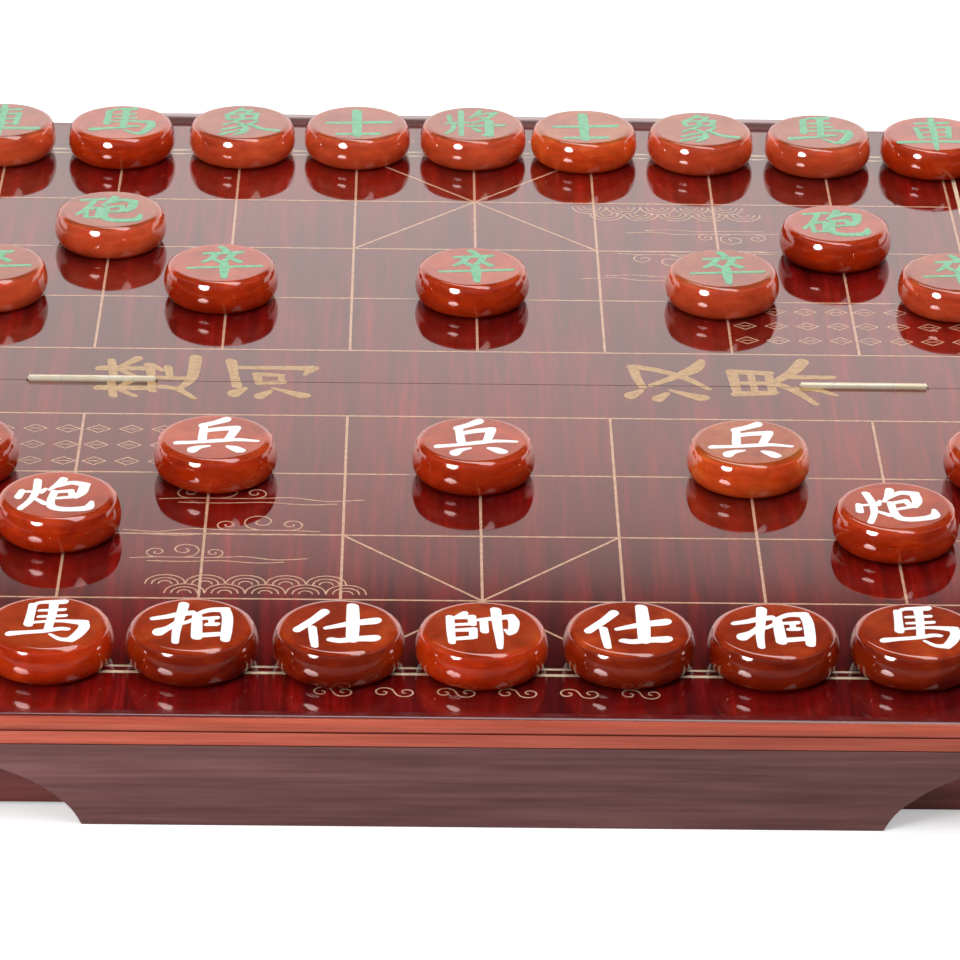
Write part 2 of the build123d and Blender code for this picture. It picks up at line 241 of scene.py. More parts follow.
# %% [markdown]
# ## Wood of the case
#
# The mouldings are a lighter, redder wood with a gloss. The apron is greyer and only satin, and its
# grain runs along each board, so the end boards and the side boards need their own direction.
# A mask made from the surface normal picks the direction, with no seams to hide. The top of the end
# moulding faces upwards like the sides' own tops, so there the mask also asks how far out it lies.

# %% The way of the grain
FIBRES, GRAIN_LENGTHS = 420.0, 14.0        # per metre, across the grain and along it
BANDS_TO_FIBRES = 7                        # fine fibres in one broad band
OUTER = 2.25                               # per metre; makes the mask rise towards the board's ends
END_GRAIN_FROM = 0.6                       # the mask value from which the grain runs across
OTHER_BOARD = 5.0                          # shift of the noise, so that the end boards differ


def grain(wood, seed):
    """The fibres and the bands of every board, each along its own length."""
    normal = wood.node("ShaderNodeNewGeometry").outputs["Normal"]
    facing = wood.node("ShaderNodeSeparateXYZ", {"Vector": normal})
    upward = wood.math("ABSOLUTE", facing.outputs["Z"])
    spot = wood.node("ShaderNodeSeparateXYZ", {"Vector": wood.place})
    far_out = wood.math("MULTIPLY", wood.math("ABSOLUTE", spot.outputs["Y"]), OUTER)
    end_top = wood.math("MULTIPLY", upward, far_out)
    towards_end = wood.math("MAXIMUM", wood.math("ABSOLUTE", facing.outputs["Y"]), end_top)
    end_board = wood.math("GREATER_THAN", towards_end, END_GRAIN_FROM)
    (side_fibre, side_band), (end_fibre, end_band) = [
        wood_streaks(wood, (axis, GRAIN_LENGTHS), FIBRES, FIBRES / BANDS_TO_FIBRES, seed + shift)
        for axis, shift in (("y", 0.0), ("x", OTHER_BOARD))]
    fibre = wood.mix(end_board, side_fibre, end_fibre)
    band = wood.mix(end_board, side_band, end_band)
    return fibre, band, upward


print("fibres per metre:", FIBRES, "and bands:", FIBRES / BANDS_TO_FIBRES)

# %% [markdown]
# Five woods share one recipe: three tones along the fibres, made darker and lighter by the bands,
# under a satin or a glossy coat. The board's dark lacquer runs over the top of the moulding, down to
# its rounded edge, so a wood can also have a colour that covers what faces up.

# %% Wood of the case
LACQUER_FROM, LACQUER_FULL = 0.80, 0.90    # how far up a face must look to be lacquered over


def cabinet_wood(name, low, middle, high, roughness, coat, seed, coat_index=1.5, over=None):
    """A wood in three tones; over is the colour of a lacquer that covers what faces up."""
    wood = Finish(name)
    fibre, band, upward = grain(wood, seed)
    colour = wood.ramp(fibre, (0.30, low), (0.50, middle), (0.72, high))
    shade = wood.ramp(band, (0.35, (0.78, 0.76, 0.76)), (0.65, (1.12, 1.10, 1.10)))
    colour = wood.mix(1.0, colour, shade, "MULTIPLY")
    if over:
        covered = wood.ramp(upward, (LACQUER_FROM, BLACK), (LACQUER_FULL, WHITE))
        colour = wood.mix(covered, colour, over)
    wood.set(Base_Color=colour, Roughness=roughness,
             Coat_Weight=coat, Coat_Roughness=0.12, Coat_IOR=coat_index)
    wood.bump(fibre, strength=0.25, depth_mm=0.05)
    return wood


moulding = cabinet_wood("moulding_wood", (0.38, 0.062, 0.033), (0.52, 0.097, 0.052),
                        (0.65, 0.142, 0.083), roughness=0.25, coat=1.0, seed=1.0,
                        coat_index=LACQUER_INDEX, over=(0.11, 0.004, 0.005))
apron = cabinet_wood("apron_wood", (0.130, 0.048, 0.046), (0.190, 0.076, 0.072),
                     (0.25, 0.109, 0.103), roughness=0.42, coat=0.25, seed=4.0)
case_wood = cabinet_wood("case_wood", (0.135, 0.031, 0.027), (0.190, 0.046, 0.040),
                         (0.25, 0.066, 0.057), roughness=0.5, coat=0.1, seed=7.0)
tray_wood = cabinet_wood("tray_wood", (0.30, 0.17, 0.09), (0.38, 0.22, 0.12),
                         (0.46, 0.29, 0.17), roughness=0.5, coat=0.1, seed=9.0)
# The closing strip is painted much paler than the apron's wood: painted light on its face towards the
# players.
strip_wood = cabinet_wood("strip_wood", (0.30, 0.21, 0.21), (0.38, 0.27, 0.27),
                          (0.46, 0.34, 0.34), roughness=0.35, coat=1.0, seed=4.0,
                          coat_index=LACQUER_INDEX)
dress(moulding, *both("edge_moulding"))
dress(strip_wood, "closing_strip")
dress(apron, *both("apron", "drawer_front"))
dress(case_wood, *both("case_walls", "case_bottom"))
dress(tray_wood, *both("drawer_tray"))
print("woods:", len((moulding, apron, case_wood, tray_wood, strip_wood)))

# %% [markdown]
# ## Brass and felt
#
# The hinges, their screws and the drawers' knobs are pale lacquered brass. Bare metal would only
# mirror the room, which is dark towards the players, so the brass is only partly metal, with a warm
# pale body colour under a clear coat. The drawers are lined with dark red felt: a fine bump gives
# its nap, and a sheen gives the soft light at its edges.

# %% Brass and felt
brass = Finish("brass")
smudge = brass.noise((180, 180, 180), detail=3.0)
brass.set(Base_Color=brass.ramp(smudge, (0.35, (0.93, 0.79, 0.56)), (0.65, (0.98, 0.90, 0.72))),
          Metallic=0.40, Roughness=0.30, Coat_Weight=1.0, Coat_Roughness=0.10)
metal_names = [name for name in nodes if "hinge" in name or "knob" in name]
dress(brass, *metal_names)

felt = Finish("felt")
nap = felt.noise((2600, 2600, 2600), detail=3.0)
felt.set(Base_Color=felt.ramp(nap, (0.3, (0.16, 0.010, 0.014)), (0.7, (0.30, 0.022, 0.028))),
         Roughness=0.95, Sheen_Weight=0.5, Sheen_Roughness=0.4)
felt.bump(nap, strength=0.6, depth_mm=0.2)
dress(felt, *both("drawer_felt"))
print("brass pieces:", len(metal_names), "and felts:", len(both("drawer_felt")))

# %% [markdown]
# ## Agate
#
# The men are red agate: polished, a little translucent, with cloudy bands inside. Light that enters
# on one side glows orange on the other. Subsurface scattering with a long red radius gives that
# glow, and two noises give the clouds. The top is ground flat and polished, and its colour is set
# apart from the rounded side's as painted light and shade. The clear coat is full on the shoulder
# and top, and weaker on the side, which keeps the side's red deep.

# %% Agate
SHINY_FROM = 0.35                          # a face that looks up this much has the full coat
SIDE_COAT = 0.38                           # the coat's weight on the side
SIDE_UP_TO, TOP_FROM = 0.60, 0.97          # how far up the side and the flat top look


def agate(name, deep, body, warm, seed, top):
    """Red stone in three tones; top multiplies the colour of its flat top, as painted light and shade."""
    stone = Finish(name)
    clouds = stone.noise((42, 42, 70), detail=4.0, roughness=0.6, shift=(seed, 2 * seed, 0),
                         distortion=0.6)
    veins = stone.noise((120, 120, 300), detail=3.0, shift=(0, seed, seed))
    colour = stone.ramp(clouds, (0.30, deep), (0.52, body), (0.74, warm))
    shade = stone.ramp(veins, (0.35, (0.86, 0.84, 0.84)), (0.65, (1.08, 1.10, 1.10)))
    normal = stone.node("ShaderNodeTexCoord").outputs["Normal"]
    upward = stone.node("ShaderNodeSeparateXYZ", {0: normal}).outputs["Z"]
    polished = stone.node("ShaderNodeMapRange", {"Value": upward, "From Min": 0.0,
                                                 "From Max": SHINY_FROM, "To Min": SIDE_COAT,
                                                 "To Max": 1.0}).outputs["Result"]
    # Painted light and shade: the flat top's colour is multiplied by top, lighter or darker than the side's.
    painted_top_light_shade = stone.ramp(upward, (SIDE_UP_TO, WHITE), (TOP_FROM, top))
    colour = stone.mix(1.0, colour, painted_top_light_shade, "MULTIPLY")
    stone.set(Base_Color=stone.mix(1.0, colour, shade, "MULTIPLY"), Roughness=0.14, IOR=1.50,
              Specular_Tint=(1.0, 0.30, 0.20), Subsurface_Weight=0.4,
              Subsurface_Radius=(1.0, 0.14, 0.05), Subsurface_Scale=0.006,
              Coat_Weight=polished, Coat_Roughness=0.07, Coat_IOR=2.2)
    return stone


print("the side's coat:", SIDE_COAT)

# %% [markdown]
# No two stones are alike, so four mixes are shared out. The near men are mostly plain and the far
# men mostly bright. The exceptions are picked by name: a few are among the darkest or the clearest
# of the set.

# %% Stones of the men
# Each stone's top paints light and shade on its flat top: paler with deep and plain, darker with bright and
# clear.
STONES = {
    "deep": agate("red_agate_deep", (0.14, 0.006, 0.001), (0.23, 0.014, 0.001), (0.33, 0.030, 0.003),
                  seed=1.0, top=(1.60, 2.4, 4.0)),
    "plain": agate("red_agate_plain", (0.36, 0.018, 0.001), (0.54, 0.034, 0.002), (0.68, 0.066, 0.006),
                   seed=2.0, top=(0.80, 1.3, 3.0)),
    "bright": agate("red_agate_bright", (0.56, 0.055, 0.014), (0.72, 0.09, 0.026), (0.84, 0.14, 0.045),
                    seed=3.0, top=(0.50, 0.74, 0.74)),
    "clear": agate("red_agate_clear", (0.66, 0.05, 0.006), (0.86, 0.11, 0.015), (0.95, 0.24, 0.05),
                   seed=4.0, top=(0.48, 0.74, 0.74)),
}
PICKED = {"white_elephant_left": "deep", "white_advisor_left": "deep", "white_advisor_right": "deep",
          "white_elephant_right": "deep", "white_horse_right": "deep", "white_soldier_4": "clear",
          "green_advisor_right": "clear", "green_cannon_right": "plain", "green_chariot_right": "plain",
          "green_horse_left": "plain", "green_soldier_2": "plain", "green_soldier_3": "plain"}
men = [name for name in nodes if name.startswith(("white_", "green_"))]
for name in men:
    dress(STONES[PICKED.get(name, "plain" if name.startswith("white_") else "bright")], name)
print("men:", len(men))

# %% [markdown]
# ## Inlays and paint
#
# The lines and words of the board lie under the lacquer, so they share its gloss. The characters
# on the men are cut into the stone and filled with white or green paint. A paint is never quite
# even, so each has a thin and a thick tone.

# %% Inlays and paint
PAINT_PATCHES = 400.0                      # per metre


def paint(name, thin, thick, roughness, coat):
    """A paint or a gold in two tones, under that much clear coat."""
    made = Finish(name)
    patch = made.noise((PAINT_PATCHES, PAINT_PATCHES, PAINT_PATCHES), detail=3.0)
    made.set(Base_Color=made.ramp(patch, (0.35, thin), (0.62, thick)), Roughness=roughness,
             Coat_Weight=coat, Coat_Roughness=CLEAR_COAT, Coat_IOR=LACQUER_INDEX)
    return made


gold = paint("gold_inlay", (0.48, 0.27, 0.16), (0.65, 0.40, 0.27), roughness=0.30, coat=1.0)
pale_gold = paint("pale_gold_inlay", (0.74, 0.58, 0.38), (0.86, 0.72, 0.52), roughness=0.30, coat=1.0)
gold_leaf = paint("gold_leaf", (0.39, 0.22, 0.075), (0.53, 0.32, 0.13), roughness=0.30, coat=1.0)
white = paint("white_paint", (0.92, 0.89, 0.87), (0.95, 0.93, 0.92), roughness=0.45, coat=0.2)
green = paint("green_paint", (0.12, 0.42, 0.22), (0.20, 0.56, 0.34), roughness=0.35, coat=0.4)
print("paints:", len((gold, pale_gold, gold_leaf, white, green)))

# %% [markdown]
# ## The board's lines
#
# What is too thin for a solid is a mesh piece that rides on the half or the man it lies on. It is
# drawn in millimetres about the middle of the seam, and then moved to the surface of the board.

# %% Thin pieces
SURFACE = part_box("front_play_panel")[1].z                 # top of the board, in metres
SEAM = (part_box("front_play_panel")[1].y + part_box("rear_play_panel")[0].y) / 2


def put_in_scene(bm, name, finish):
    """Turn the bmesh into an object with that finish."""
    mesh = bpy.data.meshes.new(name)
    bm.to_mesh(mesh)
    bm.free()
    mesh.materials.append(finish.material)
    made = bpy.data.objects.new(name, mesh)
    bpy.context.scene.collection.objects.link(made)
    return made


def piece(name, build, finish, body):
    """A mesh piece made by build(bm), in millimetres about the middle of the seam, at the surface."""
    bm = bmesh.new()
    build(bm)
    bm.transform(Matrix.Translation((0, SEAM, SURFACE)) @ Matrix.Scale(MM, 4))
    bmesh.ops.recalc_face_normals(bm, faces=bm.faces)
    made = put_in_scene(bm, name, finish)
    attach(made, body)


print("the surface is", round(SURFACE / MM, 2), "mm up, the seam at y =", round(SEAM / MM, 2), "mm")

# %% [markdown]
# Each line is a low bar that stands a few hundredths of a millimetre out of the panel, which is
# enough to be seen and too little to be felt. Where two bars cross, one lies slightly higher than
# the other, so that no two faces share a plane.

# %% Bars and ribbons
LOWEST, HIGH, HIGHER, HIGHEST = 0.02, 0.03, 0.04, 0.05     # mm, how far lines stand out of the panel
SUNK = 0.05                                # mm, how deep they reach into it


def ribbon(bm, left, right, top):
    """A thin closed strip between two lists of (x, y) points."""
    rings = [[bm.verts.new((*point, z)) for point in side]
             for side, z in ((left, top), (right, top), (right, -SUNK), (left, -SUNK))]
    for a, b in zip(rings, rings[1:] + rings[:1]):
        for i in range(len(left) - 1):
            bm.faces.new((a[i], b[i], b[i + 1], a[i + 1]))
    for i in (0, -1):
        bm.faces.new([ring[i] for ring in rings])


def bar(bm, start, end, width, top):
    """A straight line of that width."""
    (x0, y0), (x1, y1) = start, end
    length = math.hypot(x1 - x0, y1 - y0)
    ox, oy = -(y1 - y0) / length * width / 2, (x1 - x0) / length * width / 2
    ribbon(bm, [(x0 + ox, y0 + oy), (x1 + ox, y1 + oy)], [(x0 - ox, y0 - oy), (x1 - ox, y1 - oy)], top)


print("a line stands out by", LOWEST, "to", HIGHEST, "mm")

# %% [markdown]
# A xiangqi board has nine files and ten ranks. The inner files stop at the river, and two diagonals
# cross each palace. The last rank of each side is drawn a little stronger and paler, and a pale
# border runs round the grid. All of it is worked out from the pitch of the files and ranks.

# %% Pitch of the grid
FILE_PITCH, RANK_PITCH, RIVER = 52.5, 54.5, 64.8
LINE, BASE_LINE, BORDER_LINE, BORDER_OUT = 1.05, 1.4, 1.8, 4.6
OUTER_FILE, RANKS_BEFORE_LAST = 4, 4
SIDE = OUTER_FILE * FILE_PITCH             # outer file, from the middle
NEAR_RANK = RIVER / 2                      # the rank at the river, from the seam
END_RANK = NEAR_RANK + RANKS_BEFORE_LAST * RANK_PITCH
PALACE_RANKS = 2                           # the palace is this many ranks deep, and as wide
SEAM_EDGE = 0.2                            # the inlay stops at each half's own edge
print("grid:", 2 * SIDE, "x", 2 * END_RANK, "mm")

# %% [markdown]
# Each half gets three pieces, because the lines differ in colour and width.

# %% The grid
def base_line(way):
    """The last rank, before the player."""
    def build(bm):
        bar(bm, (-SIDE, way * END_RANK), (SIDE, way * END_RANK), BASE_LINE, HIGH)
    return build


def grid(way):
    """The other ranks, the files and the palace of one half."""
    def build(bm):
        for rank in range(RANKS_BEFORE_LAST):
            y = way * (NEAR_RANK + rank * RANK_PITCH)
            bar(bm, (-SIDE, y), (SIDE, y), LINE, HIGH)
        for file in range(-OUTER_FILE, OUTER_FILE + 1):
            start = SEAM_EDGE if abs(file) == OUTER_FILE else NEAR_RANK
            x = file * FILE_PITCH
            bar(bm, (x, way * start), (x, way * END_RANK), LINE, HIGHER)
        palace_edge, last_rank = way * (END_RANK - PALACE_RANKS * RANK_PITCH), way * END_RANK
        bar(bm, (-FILE_PITCH, palace_edge), (FILE_PITCH, last_rank), LINE, LOWEST)
        bar(bm, (FILE_PITCH, palace_edge), (-FILE_PITCH, last_rank), LINE, HIGHEST)
    return build


def border(way):
    """The border's three sides on one half."""
    out, end = SIDE + BORDER_OUT, END_RANK + BORDER_OUT
    corner = BORDER_LINE / 2

    def build(bm):
        bar(bm, (-out - corner, way * end), (out + corner, way * end), BORDER_LINE, HIGH)
        for x in (-out, out):
            bar(bm, (x, way * SEAM_EDGE), (x, way * end), BORDER_LINE, HIGHER)
    return build


for half, way in HALVES.items():
    piece(f"{half}_grid_lines", grid(way), gold, f"{half}_half")
    piece(f"{half}_base_line", base_line(way), pale_gold, f"{half}_half")
    piece(f"{half}_border_line", border(way), pale_gold, f"{half}_half")
print("ranks:", len(HALVES) * (RANKS_BEFORE_LAST + 1), "and files:", 2 * OUTER_FILE + 1)

# %% [markdown]
# ## Brush strokes
#
# Every word here is an ordinary game marking: the names of the men and of the river. They are
# brushed, not typed, so each is a short list of strokes, and each stroke is a few points with the
# width that the brush has there. A smooth curve runs through the points, and the ends are rounded
# and a little slanted, as a brush leaves them.

# %% Brush strokes
STEPS = 7                                  # samples between two points of a stroke
CAP = (1.0, 0.92, 0.74, 0.45, 0.12)        # how the width closes over a rounded end
SLANT = 0.22                               # how far the brush leans along its stroke


def curve_through(points):
    """Catmull-Rom samples through (x, y, width) points."""
    padded = [points[0], *points, points[-1]]
    samples = []
    for a, b, c, d in zip(padded, padded[1:], padded[2:], padded[3:]):
        for step in range(STEPS):
            t = step / STEPS
            samples.append(tuple(
                0.5 * (2 * q + (r - p) * t + (2 * p - 5 * q + 4 * r - s) * t ** 2
                       + (3 * q - p - 3 * r + s) * t ** 3)
                for p, q, r, s in zip(a, b, c, d)))
    return samples + [points[-1]]


def heading_of(start, end):
    """The direction from one point to the next, in radians."""
    return math.atan2(end[1] - start[1], end[0] - start[0])


def stroke(bm, points, top):
    """One brush stroke, a closed ribbon whose width follows its points."""
    path = curve_through(points)
    headings = [heading_of(path[max(i - 1, 0)], path[min(i + 1, len(path) - 1)])
                for i in range(len(path))]
    rounded = []
    for end, sign in ((0, -1), (-1, 1)):
        x, y, width = path[end]
        heading, cap = headings[end], []
        for share in CAP:
            out = sign * width / 2 * math.sqrt(max(0, 1 - share ** 2))
            tip = (x + out * math.cos(heading), y + out * math.sin(heading), width * share)
            cap.append((tip, heading))
        rounded.append(cap)
    body = list(zip(path, headings))
    line = rounded[0][::-1] + body[1:-1] + rounded[1]
    left, right = [], []
    for (x, y, width), heading in line:
        ox = -math.sin(heading) + SLANT * math.cos(heading)
        oy = math.cos(heading) + SLANT * math.sin(heading)
        left.append((x + ox * width / 2, y + oy * width / 2))
        right.append((x - ox * width / 2, y - oy * width / 2))
    ribbon(bm, left, right, top)


print("samples between two points:", STEPS)

# %% [markdown]
# A smooth curve would round off a sharp corner, where a brush stops and sets off again. So a stroke
# that turns sharply is split there. A whole character is then its strokes, each a little higher than
# the one before, so that no two tops share a plane.

# %% Words from strokes
SHARP = 65.0                               # degrees; a stroke that turns more is made of two
SQUARE = 100                               # a character is drawn on a square of this many units
STROKE_STEP = 0.004                        # mm, how much higher each further stroke lies


def split(points):
    """The parts of a stroke between its sharp turns."""
    parts, part = [], [points[0]]
    for a, b, c in zip(points, points[1:], points[2:]):
        part.append(b)
        turned = math.degrees(heading_of(b, c) - heading_of(a, b))
        if abs((turned + 180) % 360 - 180) > SHARP:
            parts.append(part)
            part = [b]
    return parts + [part + [points[-1]]]


def word(bm, strokes, size, middle, turn, top=HIGHEST):
    """A character of that size in mm about its middle. Strokes are drawn on a square, x to the
    right and y down."""
    cosine, sine, unit = math.cos(turn), math.sin(turn), size / SQUARE
    for count, points in enumerate([part for points in strokes for part in split(points)]):
        placed = []
        for x, y, width in points:
            right, up = (x - SQUARE / 2) * unit, (SQUARE / 2 - y) * unit
            placed.append((middle[0] + right * cosine - up * sine,
                           middle[1] + right * sine + up * cosine, width * unit))
        stroke(bm, placed, top + STROKE_STEP * count)


print("a stroke splits where it turns more than", SHARP, "degrees")

# %% [markdown]
# Each point of a stroke is (x, y, width of the brush). Chariots and horses are written alike on both
# sides, and both cannons end in the same part. Those are written once, and come first, with the
# near side's own men.

# %% Characters of the near side
FIRE = [[(19.6, 41.5, 6), (17, 54, 7)], [(20, 43, 4), (27, 43, 4)], [(39, 37.6, 4), (35.6, 43.6, 6)],
        [(31.3, 21, 7), (31.4, 42.5, 7), (27.5, 60.5, 6), (20.3, 76, 6)], [(30.8, 55.6, 4), (40.7, 66.2, 6)]]
WRAP = [[(53, 18.3, 8), (47.6, 30.3, 6), (42.5, 38.7, 4)],
        [(48.7, 31.5, 6), (60.5, 24.8, 7), (71.6, 28.7, 9), (70, 43, 9), (65.5, 52.6, 6)],
        [(48, 43.4, 5), (60.6, 40.8, 6), (62.3, 51.5, 6)], [(50.3, 55.3, 4.5), (62.4, 53, 5)],
        [(47, 43.4, 7), (45, 59, 7), (46.2, 71, 8), (53.7, 76.2, 8), (66, 76.4, 8), (77, 73, 9),
         (79.4, 62, 4)]]
WORDS = {
    "chariot": [[(34, 22, 5), (66, 19, 6)], [(33, 34, 5), (36, 62, 6)],
                [(33, 34, 4), (66, 31, 6), (64, 60, 6)], [(36, 47, 4), (63, 45, 4)],
                [(36, 60, 4), (64, 58, 4)], [(14, 74, 7), (50, 71, 6), (86, 71, 8)],
                [(50, 9, 7), (50, 60, 7), (49, 93, 4)]],
    "horse": [[(36.6, 18, 7), (36, 36, 7), (35.3, 52, 8)], [(38, 18, 4), (43, 13, 5), (61, 11.6, 8)],
              [(53.4, 13, 8), (53.2, 36, 7), (51.6, 60, 7)], [(43, 27.5, 4), (62, 25.5, 5)],
              [(43, 38.3, 4), (63.5, 36.3, 5)],
              [(37, 50, 4), (44, 47.5, 4), (62, 45.6, 5), (79, 48, 9), (80, 57, 9), (76, 69, 9),
               (71, 78, 8), (62, 77, 5), (54, 69, 3)],
              [(22, 68.6, 8), (35, 66, 6), (48.5, 63.6, 6), (61, 59.4, 6), (67, 60, 5)]],
    "white_elephant": [[(18.7, 39, 6), (29.5, 35.5, 7), (39, 31, 8), (48.4, 28.6, 8)],
                       [(42, 14, 9), (40.2, 34, 8), (38, 60, 7), (38, 80, 6)],
                       [(38.3, 46, 7), (31.4, 55.5, 7), (24.3, 62.5, 12)],
                       [(41, 48, 5), (47, 44, 5), (52, 38, 4)], [(53.5, 33, 8), (54, 52, 9), (54.5, 71, 9)],
                       [(54, 30, 5), (63.4, 23.3, 7), (75.2, 22.5, 9), (77.8, 36, 9), (78, 59, 9),
                        (77.4, 75, 8)],
                       [(57, 38.5, 4.5), (69, 37, 6)], [(62, 48.8, 5), (69.6, 48.2, 6)],
                       [(65, 38, 5), (65.5, 48, 5)], [(55.8, 68.3, 8), (73.4, 65.3, 7)]],
    "white_advisor": [[(38.3, 24, 9), (30.4, 37, 8), (23.5, 47, 8), (17, 56, 8)],
                      [(29, 52, 7), (30.4, 70, 7), (31.6, 84, 6)],
                      [(40, 52.5, 5), (50, 48.3, 7), (62, 43.6, 9), (79, 39.3, 11)],
                      [(60.8, 13.8, 10), (61.3, 43.7, 11), (61, 72.5, 10)],
                      [(44.3, 72.4, 7), (52, 74.3, 8), (65, 71, 9), (78.4, 69.8, 11)]],
    "white_general": [[(36.2, 23.4, 7), (30, 29.7, 5)], [(24.5, 30.4, 7), (25, 53, 7), (26, 74.5, 6)],
                      [(26, 31.5, 5), (42, 29.6, 7), (42.4, 42, 7)], [(27.5, 43.8, 4.5), (41, 42, 5)],
                      [(27.5, 53.4, 5), (43, 51.7, 7), (43, 64.6, 7)], [(27, 68.5, 6), (42.4, 65.7, 6)],
                      [(51.5, 36.5, 7), (52, 54.8, 7)],
                      [(48, 34.5, 5), (60, 32, 7), (73, 28.3, 8), (75.6, 38, 9), (74.5, 53, 8),
                       (72, 58.5, 5), (68.8, 52, 3)],
                      [(61.3, 17, 9), (62.3, 43.5, 8), (63.6, 65, 7), (64, 83, 5)]],
    "white_cannon": FIRE + WRAP,
    "white_soldier": [[(58, 12.2, 10), (47.7, 19.5, 8), (38, 24.8, 8)], [(39.3, 26, 7), (38.8, 53.6, 8)],
                      [(40.5, 36, 7), (52.5, 32, 8), (67.2, 29.6, 9), (63.6, 44.3, 8), (60.8, 53, 7)],
                      [(17.7, 61, 7), (32.5, 59.5, 6), (53.5, 55.8, 7), (69.3, 53.7, 6), (86.3, 56, 4)],
                      [(45.5, 66.8, 3), (37, 70, 7), (31.5, 75.2, 11)],
                      [(61.4, 67.5, 4), (66.8, 70.6, 9), (71.8, 75.5, 10)]],
}
print("near characters:", len(WORDS))

# %% [markdown]
# The far side uses other characters for most of the same men.

# %% Characters of the far side
WORDS.update({
    "green_elephant": [[(49, 12, 6), (43, 20, 5), (36, 26, 4)], [(46, 18, 4), (58, 17, 5), (53, 26, 4)],
                       [(34, 29, 5), (36, 42, 5)], [(34, 29, 4), (64, 26, 6), (62, 41, 6)],
                       [(50, 28, 6), (49, 41, 6)], [(36, 41, 4), (63, 40, 4)],
                       [(47, 44, 4), (32, 57, 4)],
                       [(44, 50, 4), (53, 60, 6), (53, 74, 7), (44, 84, 4)],
                       [(49, 60, 4), (31, 71, 5)], [(51, 69, 4), (30, 83, 5)],
                       [(65, 46, 4), (57, 55, 5)], [(57, 54, 5), (69, 66, 6), (86, 72, 6)]],
    "green_advisor": [[(20, 50, 5), (50, 48, 7), (82, 46, 7)], [(49, 17, 10), (49.5, 50, 10), (50, 83, 9)],
                      [(31, 80, 6), (50, 79, 6), (71, 78, 7)]],
    "green_general": [[(38, 15, 6), (38, 50, 6), (38, 80, 5)], [(26, 28, 5), (27, 42, 5)],
                      [(24, 48, 5), (44, 46, 5)], [(31, 52, 5), (29, 66, 5), (23, 76, 4)],
                      [(57, 14, 6), (53, 23, 5), (47, 32, 4)],
                      [(55, 22, 4), (72, 19, 6), (62, 37, 5), (48, 48, 4)], [(56, 29, 4), (61, 34, 5)],
                      [(46, 56, 5), (80, 52, 6)], [(66, 42, 9), (66, 80, 9), (59, 80, 3)],
                      [(51, 62, 5), (56, 70, 6)]],
    "green_cannon": [[(21, 26, 5), (43, 23, 6)], [(34, 26, 6), (28, 46, 6), (19, 62, 4)],
                     [(27, 48, 5), (28, 70, 5)], [(27, 48, 5), (40, 46, 6), (39, 69, 6)],
                     [(28, 70, 4), (40, 69, 4)]] + WRAP,
    "green_soldier": [[(49, 11, 7), (54, 20, 7)], [(34, 27, 5), (50, 25, 6), (68, 23, 6)],
                      [(45, 28, 7), (40, 39, 6), (33, 47, 4)], [(41, 37, 5), (48, 46, 6)],
                      [(60, 28, 8), (56, 39, 6), (50, 47, 4)], [(59, 37, 5), (67, 46, 7)],
                      [(20, 62, 4), (52, 59, 5), (87, 56, 5)], [(53, 48, 9), (53.5, 66, 9), (54, 84, 6)]],
})
WORDS["white_chariot"] = WORDS["green_chariot"] = WORDS["chariot"]
WORDS["white_horse"] = WORDS["green_horse"] = WORDS["horse"]
print("characters:", len(WORDS))

# %% [markdown]
# ## The men's characters
#
# A man's character sits in the middle of its flat top and moves with the man. Men are set down by
# hand, so a few of them are turned by some degrees.

# %% Characters on the men
CHARACTER = 45.0                           # mm, the square that a character is drawn on
LOWER = 0.6                                # mm, how far the characters sit towards the near player
# degrees by which a man was turned when it was set down, counter-clockwise
TURNED = {"white_cannon_right": 11, "white_soldier_3": 5, "white_soldier_4": -2}


def man_kind(name):
    """white_soldier_3 is a white_soldier."""
    side, kind = name.split("_")[:2]
    return f"{side}_{kind}"


def character(name):
    """The man's character, in the middle of its flat top."""
    low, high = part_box(name)
    middle = ((low.x + high.x) / 2 / MM, ((low.y + high.y) / 2 - SEAM) / MM - LOWER)
    rise = (high.z - SURFACE) / MM

    def build(bm):
        word(bm, WORDS[man_kind(name)], CHARACTER, middle, math.radians(TURNED.get(name, 0)))
        bmesh.ops.translate(bm, verts=bm.verts, vec=(0, 0, rise))
    return build


for name in men:
    filled = white if name.startswith("white") else green
    piece(f"{name}_character", character(name), filled, f"{name}_man")
print("turned by hand:", len(TURNED), "of", len(men))

# %% [markdown]
# ## The river's words
#
# The four words lie on their side along the seam, so that neither player reads them upside down.
# Each one crosses the seam. It is cut there, and each part rides on its own half, or the fold would
# tear it.

